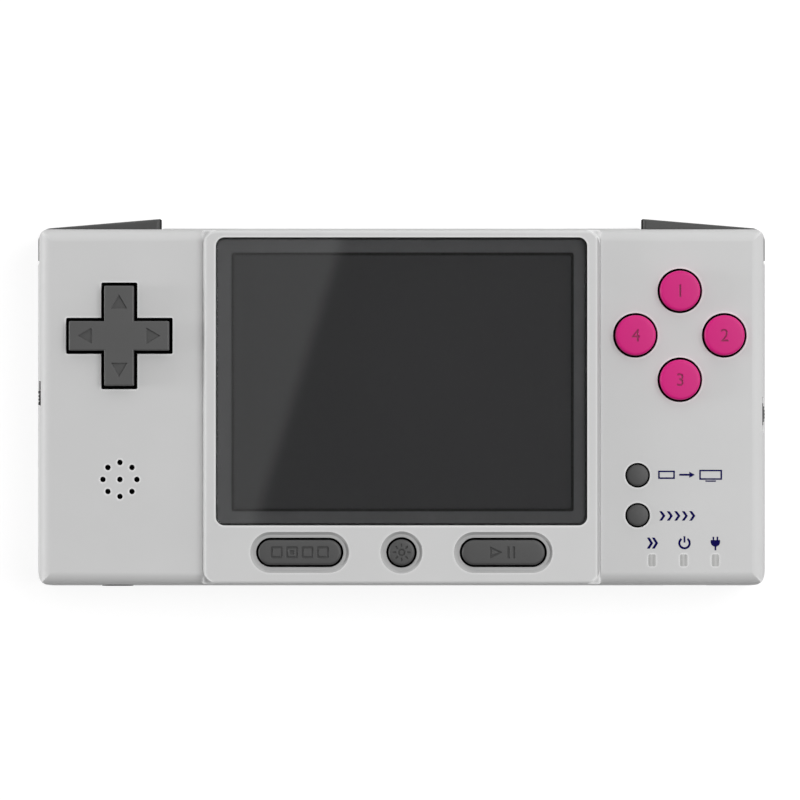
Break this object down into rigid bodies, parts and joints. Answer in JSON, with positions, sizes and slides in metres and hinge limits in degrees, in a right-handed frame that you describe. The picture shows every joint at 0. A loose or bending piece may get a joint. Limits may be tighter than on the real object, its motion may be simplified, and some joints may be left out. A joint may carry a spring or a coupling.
{
  "type": "handheld game console",
  "caption": "Wide handheld game console: raised screen block between wings with a cross pad, round buttons, pill menu buttons, edge triggers, a card bay and a battery door.",
  "frame": {"origin": "middle of the case in plan, on the flat rear face", "axes": "+X to the right of the screen, +Y towards the trigger edge, +Z out of the screen"},
  "size_m": [0.1316, 0.0663, 0.0195],
  "materials": {
    "case_grey": "fine satin moulding",
    "control_grey": "satin moulding",
    "button_magenta": "semi-gloss moulding",
    "clear_cover": "clear polished sheet",
    "printed_border": "printed",
    "screen": "switched-off panel",
    "lamp_window": "frosted",
    "membrane_rubber": "silicone",
    "foam_black": "foam",
    "steel": "plain",
    "board_green": "solder mask",
    "chip_black": "moulded",
    "white_plastic": "moulded",
    "flex_amber": "film",
    "cone_black": "pressed",
    "contact_gold": "plated",
    "capacitor_metal": "sleeved",
    "battery_wrap": "film",
    "wafer_brown": "laminate"
  },
  "bodies": {
    "housing": {"front_shell": "case_grey", "rear_shell": "case_grey", "screen_lens": "clear_cover", "lens_border": "printed_border", "led_windows": "lamp_window", "dpad_membrane": "membrane_rubber", "face_membrane": "membrane_rubber", "menu_membrane": "membrane_rubber", "side_membrane": "membrane_rubber", "left_trigger_pin": "steel", "right_trigger_pin": "steel", "left_trigger_spring": "steel", "right_trigger_spring": "steel", "left_trigger_switch": "chip_black", "right_trigger_switch": "chip_black", "volume_pot": "wafer_brown", "power_switch_body": "steel", "main_board": "board_green", "processor": "chip_black", "memory_chips": "chip_black", "crystal": "steel", "board_capacitors": "capacitor_metal", "lcd_panel": "screen", "lcd_frame": "steel", "lcd_holder": "white_plastic", "lcd_flex": "flex_amber", "lcd_connector": "white_plastic", "speaker_frame": "chip_black", "speaker_cone": "cone_black", "speaker_magnet": "steel", "speaker_gasket": "foam_black", "cartridge_connector": "chip_black", "cartridge_contacts": "contact_gold", "battery": "battery_wrap", "battery_contact_block": "chip_black", "battery_contacts": "contact_gold", "av_jack": "chip_black", "usb_socket": "steel", "usb_tongue": "chip_black", "indicator_leds": "lamp_window", "case_screws": "steel", "board_screws": "steel"},
    "dpad_pivot": {"dpad_pivot": "steel"},
    "dpad": {"dpad": "control_grey"},
    "face_button_top": {"face_button_top": "button_magenta"},
    "face_button_left": {"face_button_left": "button_magenta"},
    "face_button_right": {"face_button_right": "button_magenta"},
    "face_button_bottom": {"face_button_bottom": "button_magenta"},
    "select_button": {"select_button": "control_grey"},
    "start_button": {"start_button": "control_grey"},
    "brightness_button": {"brightness_button": "control_grey"},
    "output_button": {"output_button": "control_grey"},
    "turbo_button": {"turbo_button": "control_grey"},
    "left_trigger": {"left_trigger": "control_grey"},
    "right_trigger": {"right_trigger": "control_grey"},
    "volume_wheel": {"volume_wheel": "control_grey"},
    "power_slider": {"power_slider": "control_grey"},
    "battery_cover": {"battery_cover": "case_grey", "cover_screws": "steel"}
  },
  "joints": [
    {"name": "dpad_rock_x", "type": "hinge", "parent": "housing", "child": "dpad_pivot", "pos_m": [-0.0508, 0.0128, 0.01395], "axis": [1, 0, 0], "range_deg": [-4, 4], "stiffness_Nm_per_rad": 0.06, "deforming": ["dpad_membrane"]},
    {"name": "dpad_rock_y", "type": "hinge", "parent": "dpad_pivot", "child": "dpad", "pos_m": [-0.0508, 0.0128, 0.01395], "axis": [0, 1, 0], "range_deg": [-4, 4], "stiffness_Nm_per_rad": 0.06, "deforming": ["dpad_membrane"]},
    {"name": "face_button_top_press", "type": "slide", "parent": "housing", "child": "face_button_top", "axis": [0, 0, -1], "range_m": [0, 0.001], "stiffness_N_per_m": 600, "springref_m": -0.0005, "deforming": ["face_membrane"]},
    {"name": "face_button_left_press", "type": "slide", "parent": "housing", "child": "face_button_left", "axis": [0, 0, -1], "range_m": [0, 0.001], "stiffness_N_per_m": 600, "springref_m": -0.0005, "deforming": ["face_membrane"]},
    {"name": "face_button_right_press", "type": "slide", "parent": "housing", "child": "face_button_right", "axis": [0, 0, -1], "range_m": [0, 0.001], "stiffness_N_per_m": 600, "springref_m": -0.0005, "deforming": ["face_membrane"]},
    {"name": "face_button_bottom_press", "type": "slide", "parent": "housing", "child": "face_button_bottom", "axis": [0, 0, -1], "range_m": [0, 0.001], "stiffness_N_per_m": 600, "springref_m": -0.0005, "deforming": ["face_membrane"]},
    {"name": "select_button_press", "type": "slide", "parent": "housing", "child": "select_button", "axis": [0, 0, -1], "range_m": [0, 0.001], "stiffness_N_per_m": 600, "springref_m": -0.0005, "deforming": ["menu_membrane"]},
    {"name": "start_button_press", "type": "slide", "parent": "housing", "child": "start_button", "axis": [0, 0, -1], "range_m": [0, 0.001], "stiffness_N_per_m": 600, "springref_m": -0.0005, "deforming": ["menu_membrane"]},
    {"name": "brightness_button_press", "type": "slide", "parent": "housing", "child": "brightness_button", "axis": [0, 0, -1], "range_m": [0, 0.001], "stiffness_N_per_m": 600, "springref_m": -0.0005, "deforming": ["menu_membrane"]},
    {"name": "output_button_press", "type": "slide", "parent": "housing", "child": "output_button", "axis": [0, 0, -1], "range_m": [0, 0.001], "stiffness_N_per_m": 600, "springref_m": -0.0005, "deforming": ["side_membrane"]},
    {"name": "turbo_button_press", "type": "slide", "parent": "housing", "child": "turbo_button", "axis": [0, 0, -1], "range_m": [0, 0.001], "stiffness_N_per_m": 600, "springref_m": -0.0005, "deforming": ["side_membrane"]},
    {"name": "left_trigger_pull", "type": "hinge", "parent": "housing", "child": "left_trigger", "pos_m": [-0.0619, 0.0287, 0.00905], "axis": [0, 0, -1], "range_deg": [0, 5], "stiffness_Nm_per_rad": 0.1, "springref_deg": -4.58, "deforming": ["left_trigger_spring"]},
    {"name": "right_trigger_pull", "type": "hinge", "parent": "housing", "child": "right_trigger", "pos_m": [0.0619, 0.0287, 0.00905], "axis": [0, 0, 1], "range_deg": [0, 5], "stiffness_Nm_per_rad": 0.1, "springref_deg": -4.58, "deforming": ["right_trigger_spring"]},
    {"name": "volume_turn", "type": "hinge", "parent": "housing", "child": "volume_wheel", "pos_m": [0.05955, -0.0013, 0.014], "axis": [0, 0, 1], "range_deg": [-130, 130]},
    {"name": "power_slide", "type": "slide", "parent": "housing", "child": "power_slider", "axis": [0, 1, 0], "range_m": [0, 0.0016]},
    {"name": "battery_cover_lift", "type": "slide", "parent": "housing", "child": "battery_cover", "axis": [0, 0, -1], "range_m": [0, 0.02]}
  ]
}
